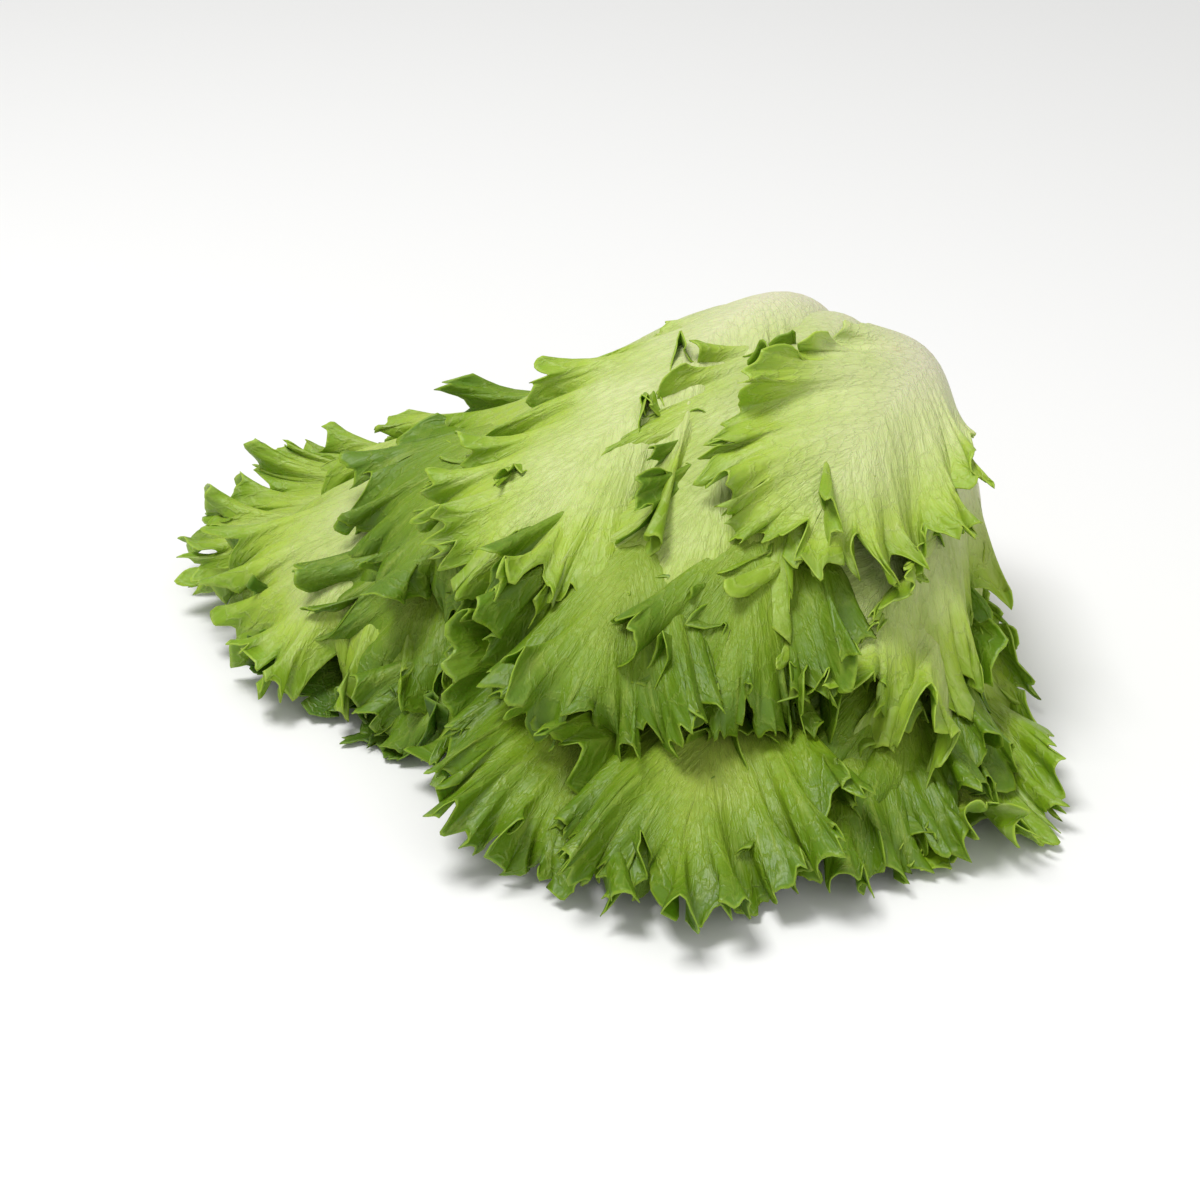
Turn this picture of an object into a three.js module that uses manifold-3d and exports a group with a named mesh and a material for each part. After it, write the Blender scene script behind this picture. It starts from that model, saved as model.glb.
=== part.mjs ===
// A head of frill lettuce, cut and lying on its side.
// Millimetres, +Z up. The origin is on the resting surface, under the middle of the head.
// The cut stem points back (+Y) and to the right; the leaf tips fan out to the left and front.
import * as THREE from 'three';
import { mergeVertices } from 'three/addons/utils/BufferGeometryUtils.js';
import Module from 'manifold-3d';

// Driving dimensions
const bladeThickness = 1.4;
const gap = 0.4; // clear space kept between two pieces
const floorHeight = 0.8; // lowest height of a leaf's middle layer
const floorSoftness = 6; // height over which a leaf eases on to the surface
const stem = {
  foot: [72, 98, 52], // middle of the cut face
  aim: [-10, -42, 38], // a point on the head's middle line
  radius: 17,
  straight: 4, // height of the straight part above the cut face
  length: 50,
  tipRadius: 6,
  tipHeight: 3,
  sides: 20,
  colour: 0xe4dfc4,
};
const leastRadius = 14; // tightest curl of a leaf round the head's middle line
const flareShare = 3; // a curl of 1 at the tip is this many times gentler than the tightest
const gloss = 0.5;
const blade = {
  across: 5, // divisions
  along: 8,
  footShare: 0.3, // width at the foot, as a share of the greatest width
  tipShare: 0.55, // the same at the tip
  widestAt: 0.74, // share of the midrib's length
};

// Rings of leaves, from the cut end up the stem: how far up they leave it, how far forward the rib
// bulges, how much of a full circle they follow near the foot, and the midrib's size.
const rings = {
  outer: { height: 6, advance: 4, curl: 0.85, rib: 8, ribWidth: 15, colour: 0xb9cc80 },
  middle: { height: 18, advance: 16, curl: 0.85, rib: 5, ribWidth: 10, colour: 0x86a83f },
  heart: { height: 32, advance: 26, curl: 0.5, rib: 2, ribWidth: 6, colour: 0xa1bc55 },
};

// One row for each leaf: its ring; its place round the stem in degrees, 0 on the right and 90 on
// top; how far out its rib bulges; where its midrib arches to and ends; which way its outer side
// faces at the tip; its width; and its curl at the tip, less than zero where the sides fold
// towards the inner side.
const leaves = [
  ['outer_leaf_back_left', 'outer', 178, 62, [-46, 68, 28], [-128, 80, 14], [-0.2, -0.3, 0.9], 56, 0.4],
  ['outer_leaf_left', 'outer', 152, 64, [-62, 38, 64], [-100, 12, 8], [-0.5, -0.5, 0.7], 82, 0.5],
  ['outer_leaf_top_left', 'outer', 122, 62, [-12, 40, 88], [-40, 28, 68], [-0.5, -0.1, 0.85], 78, 0.5],
  ['outer_leaf_top', 'outer', 98, 70, [16, 16, 98], [-40, -20, 62], [-0.3, -0.4, 0.85], 66, 0.5],
  ['outer_leaf_top_right', 'outer', 74, 62, [42, -8, 102], [2, -38, 48], [-0.3, -0.65, 0.7], 66, 0.5],
  ['outer_leaf_right_upper', 'outer', 40, 74, [70, 4, 104], [54, -30, 68], [0.2, -0.6, 0.75], 66, 0.5],
  ['outer_leaf_right', 'outer', 16, 74, [80, -6, 82], [64, -50, 36], [0.3, -0.75, 0.55], 74, 0.5],
  ['outer_leaf_right_edge', 'outer', -10, 80, [82, 2, 70], [100, -50, 8], [0.8, -0.5, 0.3], 62, 0.5],
  ['outer_leaf_right_low', 'outer', -44, 60, [88, 0, 12], [98, -78, 5], [0.1, 0.2, -0.95], 56, -0.2],
  ['under_leaf_right', 'outer', -72, 70, [80, 10, -6], [74, -60, 2], [0, 0, -1], 76, 0.3],
  ['under_leaf_front', 'outer', -104, 60, [24, 0, 4], [10, -74, 3], [0, 0, -1], 76, 0.3],
  ['under_leaf_front_left', 'outer', -134, 70, [-26, 20, -6], [-46, -28, 2], [0, 0, -1], 76, 0.3],
  ['under_leaf_left', 'outer', -162, 60, [-46, 44, 8], [-84, 0, 4], [0, 0, -1], 80, 0.3],
  ['middle_leaf_centre', 'middle', 62, 46, [66, -6, 92], [38, -38, 46], [0.1, -0.8, 0.55], 66, 0.3],
  ['middle_leaf_left_high', 'middle', 140, 54, [-32, 32, 80], [-56, -4, 40], [-0.4, -0.5, 0.75], 78, 0.3],
  ['middle_leaf_left', 'middle', 168, 46, [-38, 18, 60], [-68, -8, 16], [-0.4, -0.6, 0.65], 76, 0.3],
  ['middle_leaf_left_low', 'middle', 196, 54, [-22, 0, 42], [-48, -36, 8], [-0.3, -0.6, 0.65], 72, 0.2],
  ['middle_leaf_front_inner', 'middle', 116, 46, [8, -26, 84], [-4, -70, 36], [-0.1, -0.7, 0.7], 66, 0.2],
  ['middle_leaf_front_high', 'middle', 88, 54, [44, -24, 84], [28, -64, 38], [0, -0.7, 0.7], 62, 0.2],
  ['middle_leaf_right_low', 'middle', 0, 48, [88, -24, 50], [76, -72, 8], [0.3, -0.8, 0.5], 62, 0.2],
  ['middle_leaf_front_left', 'middle', 232, 46, [2, -48, 60], [-14, -90, 4], [0, 0.6, -0.8], 76, -0.3],
  ['middle_leaf_front', 'middle', 270, 54, [30, -58, 66], [18, -102, 4], [0, 0.6, -0.8], 72, -0.3],
  ['middle_leaf_front_right', 'middle', 316, 46, [72, -40, 48], [54, -86, 4], [0, 0.6, -0.8], 70, -0.3],
  ['heart_leaf_left', 'heart', 170, 30, [0, 0, 62], [-30, -38, 34], [-0.4, -0.5, 0.7], 52, 0.4],
  ['heart_leaf_top', 'heart', 90, 34, [28, -8, 74], [10, -48, 50], [0, -0.6, 0.8], 50, 0.4],
  ['heart_leaf_right', 'heart', 10, 28, [56, -16, 58], [44, -56, 34], [0.3, -0.7, 0.6], 50, 0.4],
].map(([name, ring, clock, bulge, arch, tip, face, width, flare]) => ({
  name,
  ring: rings[ring],
  clock: THREE.MathUtils.degToRad(clock),
  bulge,
  arch: new THREE.Vector3(...arch),
  tip: new THREE.Vector3(...tip),
  face: new THREE.Vector3(...face),
  width,
  flare,
}));

const wasm = await Module();
wasm.setup();

const stemFoot = new THREE.Vector3(...stem.foot);
const middleLine = new THREE.Vector3(...stem.aim).sub(stemFoot).normalize();
const rightward = new THREE.Vector3(0, 0, 1).cross(middleLine).normalize();
const upward = middleLine.clone().cross(rightward);

// The part of a vector that stands square to a direction
function square(vector, direction) {
  return vector.clone().addScaledVector(direction, -vector.dot(direction));
}

// How far a point is from the head's middle line, as a vector
function fromMiddleLine(point) {
  return square(point.clone().sub(stemFoot), middleLine);
}

// A point beside the stem, given by its place round it, its height and its distance
function besideStem(clock, height, distance) {
  return stemFoot.clone()
    .addScaledVector(middleLine, height)
    .addScaledVector(rightward, distance * Math.cos(clock))
    .addScaledVector(upward, distance * Math.sin(clock));
}

function midribOf({ ring, clock, bulge, arch, tip }) {
  const stemRadius = THREE.MathUtils.lerp(stem.radius, stem.tipRadius, ring.height / stem.length);
  const root = besideStem(clock, ring.height, stemRadius + gap + ring.rib / 2);
  return new THREE.CubicBezierCurve3(root, besideStem(clock, ring.advance, bulge), arch, tip);
}

// Half the leaf's width: a narrow foot that fans out and rounds off at the tip
function halfWidth(leaf, along) {
  const { footShare, tipShare, widestAt } = blade;
  const fan = footShare + (1 - footShare) * Math.sin((Math.PI / 2) * Math.min(along / widestAt, 1)) ** 1.3;
  const past = Math.max(along - widestAt, 0) / (1 - widestAt);
  return (leaf.width / 2) * fan * Math.sqrt(1 - (1 - tipShare ** 2) * past ** 2);
}

function easeOntoFloor(point) {
  const over = point.z - floorHeight - floorSoftness;
  if (over < 0) point.z = floorHeight + floorSoftness * Math.exp(over / floorSoftness);
  return point;
}

// A point of the leaf's middle layer. Near the foot the leaf is curled round the head's middle
// line; towards the tip it turns to its own face and flattens.
function middleLayer(leaf, across, along) {
  const centre = leaf.midrib.getPoint(along);
  const forward = leaf.midrib.getTangent(along);
  const outward = fromMiddleLine(centre);
  const radius = Math.max(outward.length(), leastRadius);
  const turn = THREE.MathUtils.smoothstep(along, 0.1, 0.75);
  const awayFromHead = outward.normalize().sub(middleLine).normalize();
  const back = square(awayFromHead.lerp(leaf.face, turn), forward).normalize();
  const side = forward.clone().cross(back);
  const bend = THREE.MathUtils.lerp(leaf.ring.curl / radius, leaf.flare / leastRadius / flareShare, turn);
  const arc = across * halfWidth(leaf, along) * bend;
  return easeOntoFloor(centre
    .addScaledVector(side, Math.sin(arc) / bend)
    .addScaledVector(back, (Math.cos(arc) - 1) / bend));
}

// A flat slab, divided across and along, whose upper and lower sides have the same diagonals, so
// that they stay parallel when it is bent
function dividedSlab() {
  const slab = new THREE.BoxGeometry(2, 1, 1, blade.across, blade.along, 1);
  const lowerSide = slab.groups[5];
  for (let i = lowerSide.start; i < lowerSide.start + lowerSide.count; i += 6) {
    const [a, b, d, , c] = slab.index.array.slice(i, i + 6);
    slab.index.array.set([a, b, c, a, c, d], i);
  }
  return slab;
}

// A leaf is a slab that is bent into place. With a margin it is larger on every side, to cut the
// leaves that lie against it: only its outer rows move, so that its faces stay parallel.
function leafSolid(leaf, margin) {
  const grid = dividedSlab();
  const position = grid.attributes.position;
  const step = 0.004; // share of the leaf over which its slope is measured
  const reach = 1 - 4 * step; // keeps the measuring steps inside the midrib
  const lastRow = 0.49;
  const lastColumn = 0.99;
  const length = leaf.midrib.getLength();
  const vertex = new THREE.Vector3();
  for (let i = 0; i < position.count; i++) {
    vertex.fromBufferAttribute(position, i);
    const beyondEnd = Math.abs(vertex.y) > lastRow ? margin / length : 0;
    const fromFoot = 0.5 + vertex.y * (reach + 2 * beyondEnd);
    const along = THREE.MathUtils.clamp(fromFoot, step, 1 - step);
    const half = halfWidth(leaf, along);
    const across = vertex.x * (1 + (Math.abs(vertex.x) > lastColumn ? margin / half : 0));
    const fromRib = (across * half) / leaf.ring.ribWidth;
    const rib = leaf.ring.rib * (1 - along) ** 1.5 * Math.exp(-fromRib * fromRib);
    const thickness = bladeThickness + rib + 2 * margin;
    const before = middleLayer(leaf, across, along - step);
    const lengthwise = middleLayer(leaf, across, along + step).sub(before);
    const beside = middleLayer(leaf, across - step, along);
    const crosswise = middleLayer(leaf, across + step, along).sub(beside);
    const normal = crosswise.cross(lengthwise).normalize();
    const point = middleLayer(leaf, across, along).addScaledVector(normal, vertex.z * thickness);
    position.setXYZ(i, point.x, point.y, point.z);
  }
  return solidOf(grid);
}

function solidOf(geometry) {
  geometry.deleteAttribute('normal');
  geometry.deleteAttribute('uv');
  const merged = mergeVertices(geometry, 1e-3);
  const mesh = new wasm.Mesh({
    numProp: 3,
    vertProperties: merged.attributes.position.array,
    triVerts: new Uint32Array(merged.index.array),
  });
  return new wasm.Manifold(mesh);
}

function geometryOf(solid) {
  const mesh = solid.getMesh();
  return new THREE.BufferGeometry()
    .setAttribute('position', new THREE.BufferAttribute(mesh.vertProperties, 3))
    .setIndex(new THREE.BufferAttribute(mesh.triVerts, 1));
}

// The largest body of a solid, without what hung on by a thread that rounding breaks
function settled(solid) {
  const passes = 3;
  let body = solid;
  for (let pass = 0; pass < passes; pass++) {
    const bodies = solidOf(geometryOf(body)).decompose();
    body = bodies.sort((a, b) => b.volume() - a.volume())[0];
  }
  return body;
}

// The stem: a blunt cone whose wide end is the cut face
function stemSolid(margin) {
  const profile = [
    [0, -margin],
    [stem.radius + margin, -margin],
    [stem.radius + margin, stem.straight],
    [stem.tipRadius + margin, stem.length - stem.tipHeight],
    [0, stem.length + margin],
  ].map(([radius, height]) => new THREE.Vector2(radius, height));
  const geometry = new THREE.LatheGeometry(profile, stem.sides);
  const turn = new THREE.Quaternion().setFromUnitVectors(new THREE.Vector3(0, 1, 0), middleLine);
  geometry.applyQuaternion(turn).translate(...stem.foot);
  return solidOf(geometry);
}

// Every piece, by name. A later leaf gives way to the pieces that are already in place.
const pieces = [{ name: 'stem_core', solid: stemSolid(0), colour: stem.colour }];
const surroundings = [stemSolid(gap)];
for (const leaf of leaves) {
  leaf.midrib = midribOf(leaf);
  const cut = surroundings.reduce((solid, other) => solid.subtract(other), leafSolid(leaf, 0));
  pieces.push({ name: leaf.name, solid: settled(cut), colour: leaf.ring.colour });
  surroundings.push(leafSolid(leaf, gap));
}

// The origin goes to the bottom centre of the whole head
const box = new THREE.Box3();
for (const { solid } of pieces) {
  const { position } = geometryOf(solid).attributes;
  box.union(new THREE.Box3().setFromBufferAttribute(position));
}
const origin = box.getCenter(new THREE.Vector3()).setZ(box.min.z);

const lettuce = new THREE.Group();
for (const { name, solid, colour } of pieces) {
  const moved = solidOf(geometryOf(solid).translate(-origin.x, -origin.y, -origin.z));
  const geometry = geometryOf(settled(moved));
  geometry.computeVertexNormals();
  const material = new THREE.MeshStandardMaterial({ color: colour, roughness: gloss });
  const mesh = new THREE.Mesh(geometry, material);
  mesh.name = name;
  lettuce.add(mesh);
}

export default lettuce;
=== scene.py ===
import math
import bmesh
import bpy
import numpy as np
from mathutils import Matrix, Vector


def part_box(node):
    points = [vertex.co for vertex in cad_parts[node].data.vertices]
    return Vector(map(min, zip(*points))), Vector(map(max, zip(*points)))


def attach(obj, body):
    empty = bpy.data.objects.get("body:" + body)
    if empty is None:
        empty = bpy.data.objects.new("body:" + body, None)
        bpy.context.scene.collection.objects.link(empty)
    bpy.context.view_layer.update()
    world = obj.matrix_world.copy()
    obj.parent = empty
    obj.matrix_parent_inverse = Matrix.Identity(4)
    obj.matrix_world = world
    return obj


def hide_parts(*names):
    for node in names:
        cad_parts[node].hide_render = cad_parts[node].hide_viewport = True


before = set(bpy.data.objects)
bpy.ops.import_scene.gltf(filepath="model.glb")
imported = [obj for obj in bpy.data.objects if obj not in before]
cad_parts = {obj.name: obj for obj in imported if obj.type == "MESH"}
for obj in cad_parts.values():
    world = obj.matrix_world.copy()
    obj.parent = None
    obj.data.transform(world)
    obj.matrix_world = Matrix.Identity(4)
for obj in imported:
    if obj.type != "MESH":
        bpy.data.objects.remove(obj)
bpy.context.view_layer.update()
print("frame loaded:", len(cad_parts), "nodes")

mm = 0.001

# the head lies down: a stem, and rings of leaves that leave it (millimetres, before the head is centred)
head = {
    "leastRadius": 14,  # tightest curl round the middle line
    "ribRoundness": 0.034,  # extra bend across the foot of a leaf
    "floorHeight": 0.8,
    "floorSoftness": 6,
}

stem = {
    "foot": (72, 98, 52),
    "aim": (-10, -42, 38),
    "radius": 17,
    "length": 50,
    "tipRadius": 6,
    "faceDip": 1.6,  # hollow in the cut face
    "rimRound": 1.8,
    "cut": (170, 132, 88),
    "flesh": (222, 214, 176),
}

rings = {
    "outer": {
        "height": 6, "advance": 4, "curl": 0.85, "rib": 8, "ribWidth": 15, "footTaper": 2.35, "smoothFoot": 0.36,
        "sink": 0},
    "middle": {
        "height": 18, "advance": 16, "curl": 0.85, "rib": 5, "ribWidth": 10, "footTaper": 2.05, "smoothFoot": 0.22,
        "sink": 3.5},
    "heart": {
        "height": 32, "advance": 26, "curl": 0.5, "rib": 2, "ribWidth": 6, "footTaper": 2.05, "smoothFoot": 0.22,
        "sink": 3.5},
}

# node, ring, clock (degrees), bulge, arch, tip, outer side's facing at the tip, width, curl at the tip
leafRows = [
    ("outer_leaf_back_left", "outer", 178, 62, (-46, 68, 28), (-128, 80, 14), (-0.2, -0.3, 0.9), 56, 0.4),
    ("outer_leaf_left", "outer", 152, 64, (-62, 38, 64), (-100, 12, 8), (-0.5, -0.5, 0.7), 82, 0.5),
    ("outer_leaf_top_left", "outer", 122, 62, (-12, 40, 80), (-40, 28, 64), (-0.5, -0.1, 0.85), 78, 0.5),
    ("outer_leaf_top", "outer", 98, 70, (16, 16, 92), (-40, -20, 60), (-0.3, -0.4, 0.85), 66, 0.5),
    ("outer_leaf_top_right", "outer", 74, 62, (42, -8, 102), (2, -38, 48), (-0.3, -0.65, 0.7), 66, 0.5),
    ("outer_leaf_right_upper", "outer", 40, 74, (70, 4, 104), (54, -30, 68), (0.2, -0.6, 0.75), 66, 0.5),
    ("outer_leaf_right", "outer", 16, 74, (80, -6, 82), (64, -50, 36), (0.3, -0.75, 0.55), 74, 0.5),
    ("outer_leaf_right_edge", "outer", -10, 80, (82, 2, 70), (100, -50, 8), (0.8, -0.5, 0.3), 62, 0.5),
    ("outer_leaf_right_low", "outer", -44, 60, (88, 0, 12), (98, -78, 5), (0.1, 0.2, -0.95), 56, -0.2),
    ("under_leaf_right", "outer", -72, 70, (80, 10, -6), (74, -60, 2), (0, 0, -1), 76, 0.3),
    ("under_leaf_front", "outer", -104, 60, (24, 0, 4), (10, -74, 3), (0, 0, -1), 76, 0.3),
    ("under_leaf_front_left", "outer", -134, 70, (-26, 20, -6), (-46, -28, 2), (0, 0, -1), 76, 0.3),
    ("under_leaf_left", "outer", -162, 60, (-46, 44, 8), (-84, 0, 4), (0, 0, -1), 80, 0.3),
    ("middle_leaf_centre", "middle", 62, 46, (66, -6, 92), (38, -38, 46), (0.1, -0.8, 0.55), 66, 0.3),
    ("middle_leaf_left_high", "middle", 140, 54, (-32, 32, 80), (-56, -4, 40), (-0.4, -0.5, 0.75), 78, 0.3),
    ("middle_leaf_left", "middle", 168, 46, (-38, 18, 60), (-68, -8, 16), (-0.4, -0.6, 0.65), 76, 0.3),
    ("middle_leaf_left_low", "middle", 196, 54, (-22, 0, 42), (-48, -36, 8), (-0.3, -0.6, 0.65), 72, 0.2),
    ("middle_leaf_front_inner", "middle", 116, 46, (8, -26, 84), (-4, -70, 36), (-0.1, -0.7, 0.7), 66, 0.2),
    ("middle_leaf_front_high", "middle", 88, 54, (44, -24, 84), (28, -64, 38), (0, -0.7, 0.7), 62, 0.2),
    ("middle_leaf_right_low", "middle", 0, 48, (88, -24, 50), (76, -72, 8), (0.3, -0.8, 0.5), 62, 0.2),
    ("middle_leaf_front_left", "middle", 232, 46, (2, -48, 60), (-14, -90, 4), (0, 0.6, -0.8), 76, -0.3),
    ("middle_leaf_front", "middle", 270, 54, (30, -58, 66), (18, -102, 4), (0, 0.6, -0.8), 72, -0.3),
    ("middle_leaf_front_right", "middle", 316, 46, (72, -40, 48), (54, -86, 4), (0, 0.6, -0.8), 70, -0.3),
    ("heart_leaf_left", "heart", 170, 30, (0, 0, 62), (-30, -38, 34), (-0.4, -0.5, 0.7), 52, 0.4),
    ("heart_leaf_top", "heart", 90, 34, (28, -8, 74), (10, -48, 50), (0, -0.6, 0.8), 50, 0.4),
    ("heart_leaf_right", "heart", 10, 28, (56, -16, 58), (44, -56, 34), (0.3, -0.7, 0.6), 50, 0.4),
]

# rays that cross a leaf from its midrib to its margin, and steps along each
meshGrid = {"outer_leaf": (980, 10), "under_leaf": (520, 9), "middle_leaf": (940, 10), "heart_leaf": (300, 8)}

rowCrowding = 1.7  # above 1, the steps stand closer together near the margin

# the frilled margin, in millimetres; a fold is its length, its height and how far its sides lean over
frill = {
    "blade": 0.7,
    "edge": 0.32,
    "lobe": {"spacing": 17, "depth": 11, "sharpness": 2.3},
    "lobelet": {"spacing": 6.4, "depth": 5.8, "sharpness": 2.2},
    "tooth": {"spacing": 2.7, "depth": 4.2, "sharpness": 1.7},
    "spike": {"spacing": 1.4, "depth": 0.8, "sharpness": 1.3},
    "hook": 0.35,
    "curl": 6.5,
    "swell": (46, 6.5, 2),
    "ruffle": (17, 6.2, 2.2),
    "frizz": (7.2, 2.9, 0.9),
    "crimp": (3.8, 0.9, 0.2),
}

# colours as 8-bit red, green, blue
# edge is the colour of a painted highlight, a thin bright line along each leaf's rim
leafLooks = {
    "outer_leaf": {"pale": (194, 204, 138), "mid": (158, 182, 60), "deep": (120, 152, 22), "edge": (170, 194, 66)},
    "under_leaf": {"pale": (146, 164, 68), "mid": (94, 124, 18), "deep": (66, 98, 8), "edge": (122, 152, 34)},
    "middle_leaf": {"pale": (164, 182, 74), "mid": (116, 146, 18), "deep": (88, 120, 8), "edge": (152, 180, 44)},
    "heart_leaf": {"pale": (174, 190, 84), "mid": (124, 152, 24), "deep": (86, 116, 8), "edge": (148, 178, 40)},
}
# sheen is the colour of a painted sheen, a glossy reflection on the blades
baseLooks = {"cream": (214, 213, 176), "rose": (214, 198, 172), "sheen": (158, 176, 100), "bruise": (184, 158, 112)}

# how far out a leaf stays pale, where it is fully green, and how far its cream foot reaches
greening = {
    "outer_leaf_top": (0.26, 0.95, 0.45),
    "outer_leaf_right_upper": (0.3, 1.0, 0.54),
    "outer_leaf_right": (0.26, 0.98, 0.52),
    "outer_leaf_right_edge": (0.28, 1.05, 0.5),
    "outer_leaf_left": (0.24, 0.95, 0.36),
    "outer_leaf_top_right": (0.12, 0.95, 0.3),
    "outer_leaf_back_left": (0.16, 0.95, 0.3),
    "outer_leaf_top_left": (0.06, 0.7, 0.36),
    "outer_leaf_right_low": (0.08, 0.75, 0.34),
    "middle_leaf_centre": (0.12, 0.95, 0.3),
    "middle_leaf_front": (0.25, 0.9, 0.3),
    "middle_leaf_front_left": (0.2, 0.85, 0.3),
    "others": (0.08, 0.75, 0.34),
}


def axisOf(vector):
    vector = np.asarray(vector, float)
    return vector / np.linalg.norm(vector, axis=-1, keepdims=True)


def square(vectors, directions):
    along = np.sum(vectors * directions, axis=-1, keepdims=True)
    return vectors - along * directions


def smooth(value, low, high):
    t = np.clip((value - low) / (high - low), 0, 1)
    return t * t * (3 - 2 * t)


stemFoot = np.array(stem["foot"], float)
middleLine = axisOf(np.array(stem["aim"]) - stemFoot)
rightward = axisOf(np.cross((0, 0, 1), middleLine))
upward = np.cross(middleLine, rightward)


def besideStem(clock, height, distance):
    angle = math.radians(clock)
    around = rightward * math.cos(angle) + upward * math.sin(angle)
    return stemFoot + middleLine * height + around * distance


def easeOntoFloor(points):
    low, soft = head["floorHeight"], head["floorSoftness"]
    over = np.minimum(points[:, 2] - low - soft, 0)
    eased = low + soft * np.exp(over / soft)
    points[:, 2] = np.where(over < 0, eased, points[:, 2])
    return points


# the stem is the piece both models share, so it gives the model's origin
lowStem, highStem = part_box("stem_core")
stemEnd = stemFoot + middleLine * stem["length"]
slant = np.sqrt(1 - middleLine ** 2)
plainLow = np.minimum(stemFoot - stem["radius"] * slant, stemEnd - stem["tipRadius"] * slant)
plainHigh = np.maximum(stemFoot + stem["radius"] * slant, stemEnd + stem["tipRadius"] * slant)
originShift = (np.array(lowStem) + np.array(highStem)) / 2 - (plainLow + plainHigh) / 2 * mm


def midribOf(row):
    name, ring, clock, bulge, arch, tip, face, width, flare = row
    size = rings[ring]
    taper = (stem["tipRadius"] - stem["radius"]) * size["height"] / stem["length"]
    root = besideStem(clock, size["height"], stem["radius"] + taper + 0.4 + size["rib"] / 2)
    return np.array([root, besideStem(clock, size["advance"], bulge), arch, tip], float)


def bezier(points, t):
    t = t[:, None]
    p0, p1, p2, p3 = points
    place = (1 - t) ** 3 * p0 + 3 * (1 - t) ** 2 * t * p1 + 3 * (1 - t) * t ** 2 * p2 + t ** 3 * p3
    slope = 3 * (1 - t) ** 2 * (p1 - p0) + 6 * (1 - t) * t * (p2 - p1) + 3 * t ** 2 * (p3 - p2)
    return place, axisOf(slope)


def onLeaf(row, points, across, along, lift, length):
    name, ring, clock, bulge, arch, tip, face, width, flare = row
    t = np.clip(along / length, 0.004, 1)
    centre, forward = bezier(points, t)
    centre = centre + forward * (along - t * length)[:, None]
    outward = square(centre - stemFoot, middleLine)
    radius = np.maximum(np.linalg.norm(outward, axis=1), head["leastRadius"])
    turn = smooth(t, 0.1, 0.75)
    away = axisOf(axisOf(outward) - middleLine)
    back = axisOf(square(away + (np.array(face) - away) * turn[:, None], forward))
    side = np.cross(forward, back)
    bend = rings[ring]["curl"] / radius * (1 - turn) + flare / head["leastRadius"] / 3 * turn
    bend = bend + head["ribRoundness"] * (1 - smooth(t, 0.16, 0.45))
    bend = np.where(np.abs(bend) < 1e-4, 1e-4, bend)
    arc = across * bend
    place = centre + side * (np.sin(arc) / bend)[:, None] + back * ((np.cos(arc) - 1) / bend)[:, None]
    normal = back * np.cos(arc)[:, None] + side * np.sin(arc)[:, None]
    return easeOntoFloor(place + normal * lift[:, None])


def cusps(distance, kind, dice):  # sharp points at uneven spacing, and rounded bays between them
    count = int(distance.max() / kind["spacing"] * 2) + 8
    knots = np.cumsum(kind["spacing"] * dice.uniform(0.5, 1.5, count)) - 2 * kind["spacing"]
    sizes = dice.uniform(0.35, 1.25, count)
    after = np.clip(np.searchsorted(knots, distance), 1, count - 1)
    within = np.clip((distance - knots[after - 1]) / (knots[after] - knots[after - 1]), 0, 1)
    nearest = np.where(within < 0.5, sizes[after - 1], sizes[after])
    return kind["depth"] * nearest * np.abs(2 * within - 1) ** kind["sharpness"]


def drift(distance, spacing, low, high, dice):  # an even wander between two values
    values = dice.uniform(low, high, int(distance.max() / spacing) + 4)
    turns = np.maximum(distance / spacing + 1, 0)
    before = turns.astype(int)
    step = smooth(turns - before, 0, 1)
    return values[before] * (1 - step) + values[before + 1] * step


def folds(distance, wave, dice):  # a ribbon that meanders: its lift and its lean along the margin
    spacing, height, lean = wave
    turn = 2 * math.pi * (distance / spacing + drift(distance, spacing * 1.4, -0.35, 0.35, dice))
    strength = drift(distance, spacing * 1.8, 0.45, 1.25, dice)
    return strength * height * np.sin(turn), -strength * lean * np.sin(2 * turn)


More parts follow.
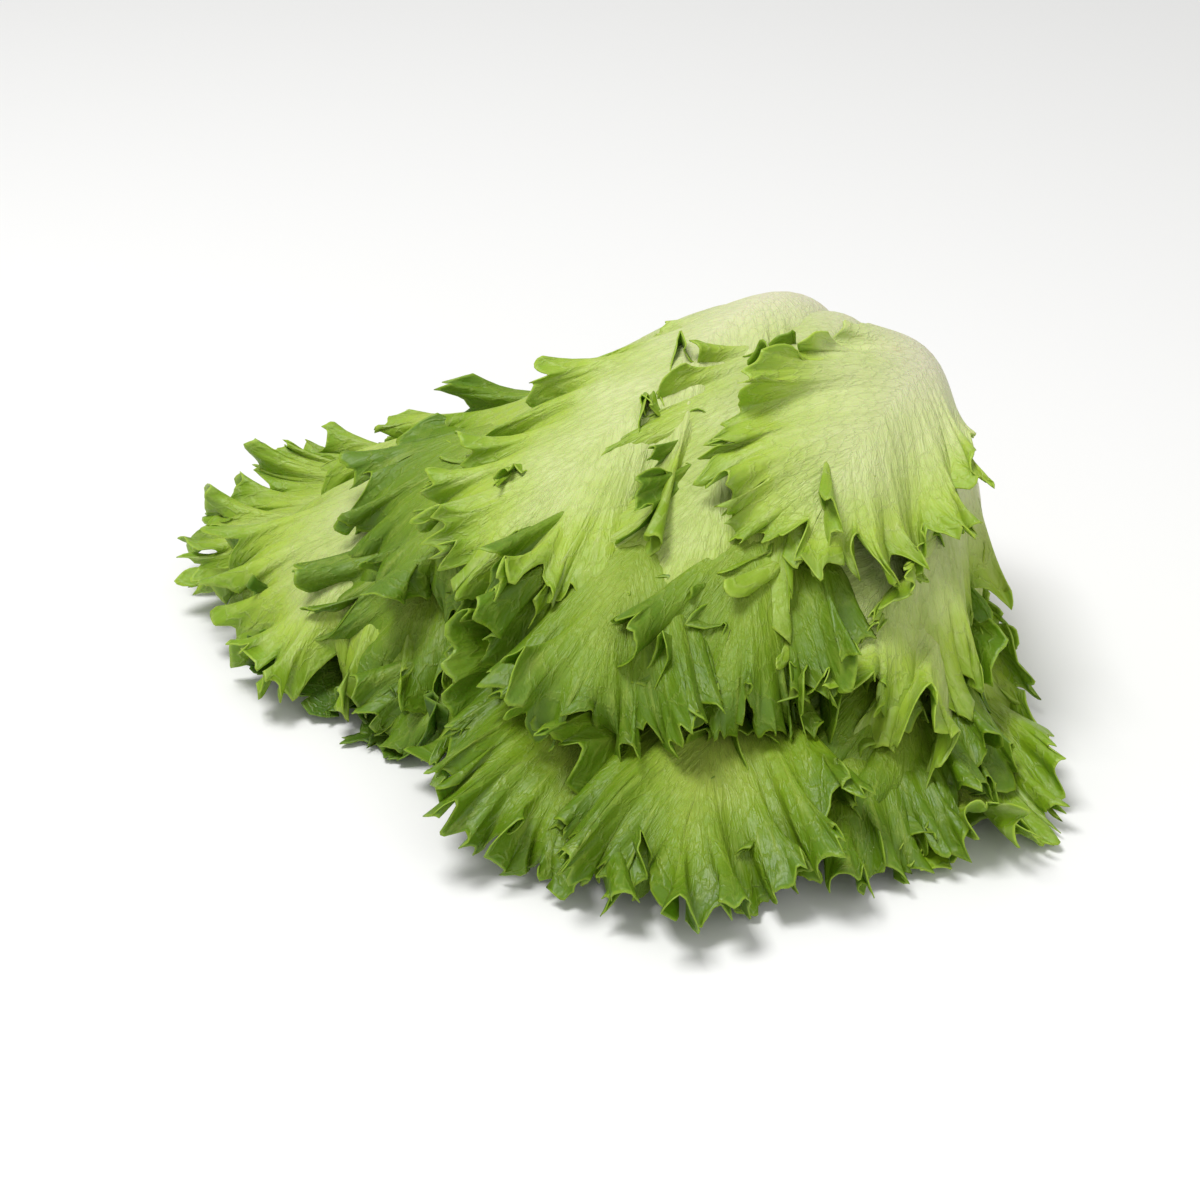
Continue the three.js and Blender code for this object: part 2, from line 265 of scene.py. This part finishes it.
def makeLeaf(row, slot, seed):
    name, ring, clock, bulge, arch, tip, face, width, flare = row
    rays, steps = meshGrid[slot]
    size = rings[ring]
    points = midribOf(row)
    spots = bezier(points, np.linspace(0, 1, 60))[0]
    length = float(np.sum(np.linalg.norm(np.diff(spots, axis=0), axis=1)))
    dice = np.random.RandomState(seed)

    bm = bmesh.new()
    bmesh.ops.create_grid(bm, x_segments=rays, y_segments=steps, size=1)
    mesh = bpy.data.meshes.new("frilled_" + name)
    bm.to_mesh(mesh)
    bm.free()
    flat = np.empty(len(mesh.vertices) * 3)
    mesh.vertices.foreach_get("co", flat)
    flat = flat.reshape(-1, 3)
    ray = flat[:, 0]  # -1 and 1 at the foot, 0 at the tip
    out = 1 - (1 - (flat[:, 1] + 1) / 2) ** rowCrowding
    sign = np.sign(ray) + (ray == 0)
    p = (1 - np.abs(ray)) ** 0.75  # more rays where the margin is frilled

    marginX = width / 2 * (np.sin(math.pi * p ** size["footTaper"]) ** 0.9 + 0.3 * (1 - p))
    marginS = length * (1 - np.cos(math.pi * p)) / 2
    startS = length * 0.86 * p ** 1.3
    reach = np.hypot(marginX, marginS - startS)
    distance = (1 + sign * (1 - p)) * length * 1.2  # along the margin, round the whole leaf
    frilly = smooth(marginS / length, size["smoothFoot"], size["smoothFoot"] + 0.26)

    tooth = cusps(distance, frill["tooth"], dice) * drift(distance, 40, 0.6, 1.3, dice)
    spike = cusps(distance, frill["spike"], dice)
    lobes = cusps(distance, frill["lobe"], dice) * out ** 2.4 + cusps(distance, frill["lobelet"], dice) * out ** 4
    pull = frilly * ((tooth + spike) * out ** 8 - lobes) / np.maximum(reach, 12)

    lift = frill["curl"] * drift(distance, 14, -1, 1, dice) * out ** 6
    sideways = frill["hook"] * tooth * out ** 8
    for wave, growth in (("swell", 1.6), ("ruffle", 3.8), ("frizz", 6), ("crimp", 11)):
        rise, lean = folds(distance + 6 * (1 - out), frill[wave], dice)
        lift = lift + rise * out ** growth
        sideways = sideways + lean * out ** growth
    lift = lift * frilly - size["sink"] * out ** 2
    sideways = sideways * frilly
    rayX, rayS = marginX / reach, (marginS - startS) / reach
    across = sign * (marginX * (out + pull) + rayS * sideways)
    along = startS + (marginS - startS) * (out ** 1.12 + pull) - rayX * sideways
    ridges = 0.1 * np.sin(distance * 2 * math.pi / 5 + drift(distance, 9, -2, 2, dice))
    lift = lift + ridges * out * (1 - out) * 4 * frilly

    place = onLeaf(row, points, across, along, lift, length) * mm + originShift
    mesh.vertices.foreach_set("co", place.ravel())

    loopVertex = np.empty(len(mesh.loops), np.int32)
    mesh.loops.foreach_get("vertex_index", loopVertex)
    fan = np.stack([distance / 100, out], axis=1)  # where a point is round the leaf, and how far out
    spread = np.stack([across / width + 0.5, along / length], axis=1)
    for layer, values in (("fan", fan), ("leafPlace", spread)):
        mesh.uv_layers.new(name=layer).data.foreach_set("uv", values[loopVertex].ravel())

    leaf = bpy.data.objects.new("frilled_" + name, mesh)
    bpy.context.scene.collection.objects.link(leaf)
    rib = size["rib"] * (1 - np.clip(along / length, 0, 1)) ** 1.5 * np.exp(-(across / size["ribWidth"]) ** 2)
    blade = frill["edge"] + (frill["blade"] - frill["edge"]) * (1 - out ** 3)
    thickness = (blade + rib) * mm
    most = float(thickness.max())
    group = leaf.vertex_groups.new(name="thick")
    for index, value in enumerate(thickness / most):
        group.add([index], float(value), "REPLACE")

    bm = bmesh.new()
    bm.from_mesh(mesh)
    bmesh.ops.remove_doubles(bm, verts=bm.verts, dist=1e-6)
    raised = onLeaf(row, points, across, along, lift + 1, length) * mm + originShift
    bm.verts.ensure_lookup_table()
    bm.normal_update()
    middle = min(bm.verts, key=lambda vertex: (vertex.co - Vector(place[len(place) // 3])).length)
    facing = middle.normal.dot(Vector(raised[len(place) // 3] - place[len(place) // 3]))
    if facing < 0:
        bmesh.ops.reverse_faces(bm, faces=bm.faces)
    bm.to_mesh(mesh)
    bm.free()
    solid = leaf.modifiers.new("thickness", "SOLIDIFY")
    solid.thickness = most
    solid.offset = 0
    solid.vertex_group = "thick"
    solid.thickness_vertex_group = 0
    solid.material_offset = 1
    for polygon in mesh.polygons:
        polygon.use_smooth = True
    return leaf


def makeStem():
    bm = bmesh.new()
    bmesh.ops.create_uvsphere(bm, u_segments=96, v_segments=60, radius=1)
    radius, length = stem["radius"], stem["length"]
    rim = stem["rimRound"]
    profile = np.array([
        (0, stem["faceDip"]), (radius * 0.55, stem["faceDip"] * 0.7), (radius - rim, 0.3), (radius - rim * 0.3, 0.5),
        (radius, rim), (stem["tipRadius"], length - 2), (stem["tipRadius"] * 0.7, length), (0, length)])
    steps = np.linalg.norm(np.diff(profile, axis=0), axis=1)
    travelled = np.concatenate([[0], np.cumsum(steps)]) / np.sum(steps)
    for vertex in bm.verts:
        turn = math.acos(max(-1, min(1, -vertex.co.z))) / math.pi
        angle = math.atan2(vertex.co.y, vertex.co.x)
        reach = np.interp(turn, travelled, profile[:, 0])
        height = np.interp(turn, travelled, profile[:, 1])
        reach = reach * (1 - 0.03 + 0.03 * math.sin(5 * angle + 1) + 0.015 * math.sin(13 * angle))
        height = height + 0.35 * math.sin(3 * angle + reach * 0.5) * (1 - turn) ** 4
        spot = besideStem(math.degrees(angle), height, reach)
        vertex.co = Vector(spot * mm + originShift)
    bmesh.ops.recalc_face_normals(bm, faces=bm.faces)
    mesh = bpy.data.meshes.new("cut_stem")
    bm.to_mesh(mesh)
    bm.free()
    for polygon in mesh.polygons:
        polygon.use_smooth = True
    piece = bpy.data.objects.new("cut_stem", mesh)
    bpy.context.scene.collection.objects.link(piece)
    return piece


class Wire:
    def __init__(self, tree, socket):
        self.tree = tree
        self.socket = socket

    def math(self, operation, other=None, clamp=False):
        inputs = [self] if other is None else [self, other]
        return node(self.tree, "ShaderNodeMath", {"operation": operation, "use_clamp": clamp}, inputs)

    def part(self, index):
        return Wire(self.tree, self.socket.node.outputs[index])

    def __add__(self, other): return self.math("ADD", other)
    def __radd__(self, other): return self.math("ADD", other)
    def __sub__(self, other): return self.math("SUBTRACT", other)
    def __rsub__(self, other): return (self * -1) + other
    def __mul__(self, other): return self.math("MULTIPLY", other)
    def __rmul__(self, other): return self.math("MULTIPLY", other)
    def __truediv__(self, other): return self.math("DIVIDE", other)
    def __pow__(self, other): return self.math("POWER", other)
    def clamped(self): return self.math("ADD", 0, True)


def node(tree, kind, settings=None, inputs=None, output=0):
    made = tree.nodes.new(kind)
    for name, value in (settings or {}).items():
        if name == "stops":
            ramp = made.color_ramp
            while len(ramp.elements) < len(value):
                ramp.elements.new(0.5)
            for element, (place, colour) in zip(ramp.elements, value):
                element.position = place
                element.color = (*colour, 1)
        else:
            setattr(made, name, value)
    pairs = inputs.items() if isinstance(inputs, dict) else enumerate(inputs or [])
    for key, value in pairs:
        if isinstance(value, Wire):
            tree.links.new(value.socket, made.inputs[key])
        elif value is not None:
            made.inputs[key].default_value = value
    return Wire(tree, made.outputs[output]) if made.outputs else None


def newMaterial(name):
    material = bpy.data.materials.new(name)
    material.use_nodes = True
    material.node_tree.nodes.clear()
    return material, material.node_tree


def linear(red, green, blue):
    return tuple(((c / 255 + 0.055) / 1.055) ** 2.4 for c in (red, green, blue))


def mixColour(tree, factor, first, second):
    if not isinstance(first, Wire):
        first = (*first, 1)
    if not isinstance(second, Wire):
        second = (*second, 1)
    return node(tree, "ShaderNodeMix", {"data_type": "RGBA"}, {0: factor, 6: first, 7: second}, 2)


def leafMaterial(name, slot, inside):
    looks = leafLooks[slot]
    material, tree = newMaterial(("inside_" if inside else "outside_") + name)
    fan = node(tree, "ShaderNodeSeparateXYZ", None, [node(tree, "ShaderNodeUVMap", {"uv_map": "fan"})])
    ray, out = fan.part(0), fan.part(1)
    place = node(tree, "ShaderNodeSeparateXYZ", None, [node(tree, "ShaderNodeUVMap", {"uv_map": "leafPlace"})])
    across, along = place.part(0), place.part(1)
    where = node(tree, "ShaderNodeTexCoord", None, None, 3)

    streaked = node(tree, "ShaderNodeCombineXYZ", None, [ray * 45, out * 2.2, 0.0])
    streak = node(tree, "ShaderNodeTexNoise", None, {"Vector": streaked, "Scale": 1.0, "Detail": 3.0, "Roughness": 0.6})
    finely = node(tree, "ShaderNodeCombineXYZ", None, [ray * 150, out * 9, 0.0])
    fine = node(tree, "ShaderNodeTexNoise", None, {"Vector": finely, "Scale": 1.0, "Detail": 2.0})
    mottle = node(tree, "ShaderNodeTexNoise", None, {"Vector": where, "Scale": 42.0, "Detail": 5.0, "Roughness": 0.62})
    netted = node(tree, "ShaderNodeCombineXYZ", None, [ray * 24 + mottle * 2, out * 9 + fine, 0.0])
    net = node(tree, "ShaderNodeTexVoronoi", {"feature": "DISTANCE_TO_EDGE"}, {"Vector": netted, "Scale": 1.0})
    net = (1 - net * 9).clamped()
    crinkle = node(tree, "ShaderNodeTexNoise", None, {"Vector": where, "Scale": 150.0, "Detail": 3.0})
    pores = node(tree, "ShaderNodeTexNoise", None, {"Vector": where, "Scale": 700.0, "Detail": 2.0})

    low, high, footReach = greening.get(name, greening["others"])
    if inside:
        low, high = low - 0.05, high - 0.05
    leafiness = along * 0.42 + out ** 2.2 * 0.6 * ((along - footReach + 0.14) * 4).clamped()
    leafiness = leafiness + (mottle - 0.5) * 0.55 + (streak - 0.5) * 0.25
    leafiness = ((leafiness - low) / (high - low)).clamped()
    green = node(tree, "ShaderNodeValToRGB", {"stops": [
        (0, linear(*looks["pale"])), (0.5, linear(*looks["mid"])), (1, linear(*looks["deep"]))]}, [leafiness])
    fromRib = (across - 0.5).math("ABSOLUTE")
    foot = ((footReach - along) * 3.6 + 0.55 - fromRib * 3).clamped()
    colour = mixColour(tree, foot, green, linear(*baseLooks["cream"]))
    low = ((0.13 - along) * 9 + (mottle - 0.5)).clamped()
    colour = mixColour(tree, low * 0.6, colour, linear(*baseLooks["rose"]))
    # painted sheen: pale glossy streaks painted into the middle of each blade, away from the margin
    sheen = ((streak - 0.42) * 3).clamped() * ((0.8 - out) * 2).clamped() * ((along - 0.3) * 3).clamped()
    colour = mixColour(tree, sheen * 0.16, colour, linear(*baseLooks["sheen"]))
    # rim: painted highlight, a thin bright line along the leaf margin and its teeth, mixed in with the edge colour
    rim = ((out - 0.985) * 90).clamped() * ((along - 0.3) * 4).clamped()
    vein = ((streak - 0.55) * 8).clamped() * (1 - rim) * ((along - 0.12) * 3).clamped()
    vein = (vein * 0.28 + net * 0.14 * ((along - 0.2) * 4).clamped()).clamped()
    colour = mixColour(tree, vein, colour, linear(*looks["pale"]))
    colour = mixColour(tree, rim * 0.5, colour, linear(*looks["edge"]))
    bruise = ((mottle - 0.64) * 8).clamped() * foot * 0.4
    colour = mixColour(tree, bruise, colour, linear(*baseLooks["bruise"]))
    cut = ((0.012 - along) * 200).clamped()
    colour = mixColour(tree, cut * 0.8, colour, linear(*stem["cut"]))

    relief = streak * 0.6 + fine * 0.4 + mottle * 0.5 + crinkle * 0.9 + pores * 0.1 + net * 0.25
    bump = node(tree, "ShaderNodeBump", None, {"Strength": 0.5, "Distance": 0.0016, "Height": relief})
    rough = (0.34 if inside else 0.4) + mottle * 0.2
    shader = node(tree, "ShaderNodeBsdfPrincipled", None, {
        "Base Color": colour, "Roughness": rough, "Normal": bump, "Subsurface Weight": 0.15,
        "Subsurface Radius": (0.5, 1.0, 0.2), "Subsurface Scale": 0.002, "Specular IOR Level": 0.4})
    node(tree, "ShaderNodeOutputMaterial", None, [shader])
    return material


def stemMaterial():
    material, tree = newMaterial("stemFlesh")
    where = node(tree, "ShaderNodeTexCoord", None, None, 3)
    mottle = node(tree, "ShaderNodeTexNoise", None, {"Vector": where, "Scale": 120.0, "Detail": 6.0, "Roughness": 0.65})
    centre = Vector(stemFoot * mm + originShift)
    offset = node(tree, "ShaderNodeVectorMath", {"operation": "SUBTRACT"}, [where, centre])
    height = node(tree, "ShaderNodeVectorMath", {"operation": "DOT_PRODUCT"}, [offset, Vector(middleLine)], 1)
    reach = node(tree, "ShaderNodeVectorMath", {"operation": "LENGTH"}, [offset], 1)
    ringed = (reach * 2600 + mottle * 5).math("SINE") * 0.5 + 0.5
    cut = ((0.0035 - height) * 500 + (mottle - 0.5) * 2).clamped()
    pith = mixColour(tree, ((0.0095 - reach) * 400 + (mottle - 0.5) * 3).clamped(), linear(*stem["cut"]), linear(206, 184, 138))
    tinted = mixColour(tree, ringed * 0.25, pith, linear(142, 104, 66))
    colour = mixColour(tree, cut * 0.9, linear(*stem["flesh"]), tinted)
    bump = node(tree, "ShaderNodeBump", None, {"Strength": 0.6, "Distance": 0.001, "Height": mottle + ringed * 0.25})
    shader = node(tree, "ShaderNodeBsdfPrincipled", None, {
        "Base Color": colour, "Roughness": 0.48, "Normal": bump, "Subsurface Weight": 0.2,
        "Subsurface Radius": (1.0, 0.8, 0.4), "Subsurface Scale": 0.003})
    node(tree, "ShaderNodeOutputMaterial", None, [shader])
    return material


for seed, row in enumerate(leafRows):
    name = row[0]
    slot = name[:name.index("_leaf")] + "_leaf"
    leaf = makeLeaf(row, slot, seed + 11)
    leaf.data.materials.append(leafMaterial(name, slot, False))
    leaf.data.materials.append(leafMaterial(name, slot, True))
    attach(leaf, "root")
    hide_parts(name)
print("leaves made:", len(leafRows))

cutStem = makeStem()
cutStem.data.materials.append(stemMaterial())
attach(cutStem, "root")
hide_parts("stem_core")
print("stem made")

studio = {
    "floorSize": 3,
    "floorShade": (0.86, 0.86, 0.85, 1),
    "skyStrength": 0.5,
    "lights": [
        ("topLight", (-0.35, -0.1, 1.2), 0.45, 12),  # place, size, power
        ("frontLight", (0.5, -1.0, 0.7), 0.9, 3),
    ],
    "aimHeight": 0.04,
    "distance": 0.9,
    "elevation": 30,
    "lens": 96,
}

floorMesh = bpy.data.meshes.new("floor")
bm = bmesh.new()
bmesh.ops.create_grid(bm, x_segments=1, y_segments=1, size=studio["floorSize"])
bm.to_mesh(floorMesh)
bm.free()
floor = bpy.data.objects.new("floor", floorMesh)
bpy.context.scene.collection.objects.link(floor)
material, tree = newMaterial("floorPaint")
shader = node(tree, "ShaderNodeBsdfPrincipled", None, {"Base Color": studio["floorShade"], "Roughness": 0.8})
node(tree, "ShaderNodeOutputMaterial", None, [shader])
floorMesh.materials.append(material)

world = bpy.data.worlds.new("studio")
bpy.context.scene.world = world
world.use_nodes = True
world.node_tree.nodes["Background"].inputs[0].default_value = (1, 1, 1, 1)
world.node_tree.nodes["Background"].inputs[1].default_value = studio["skyStrength"]

aim = Vector((originShift[0], originShift[1], studio["aimHeight"] + originShift[2]))
for name, place, size, power in studio["lights"]:
    lamp = bpy.data.lights.new(name, "AREA")
    lamp.size = size
    lamp.energy = power
    light = bpy.data.objects.new(name, lamp)
    light.location = place
    light.rotation_euler = (aim - Vector(place)).to_track_quat("-Z", "Y").to_euler()
    bpy.context.scene.collection.objects.link(light)

camera = bpy.data.objects.new("camera", bpy.data.cameras.new("camera"))
angle = math.radians(studio["elevation"])
camera.location = aim + Vector((0, -math.cos(angle), math.sin(angle))) * studio["distance"]
camera.rotation_euler = (aim - camera.location).to_track_quat("-Z", "Y").to_euler()
camera.data.lens = studio["lens"]
bpy.context.scene.collection.objects.link(camera)
bpy.context.scene.camera = camera
bpy.context.scene.view_settings.view_transform = "Standard"
print("studio ready")
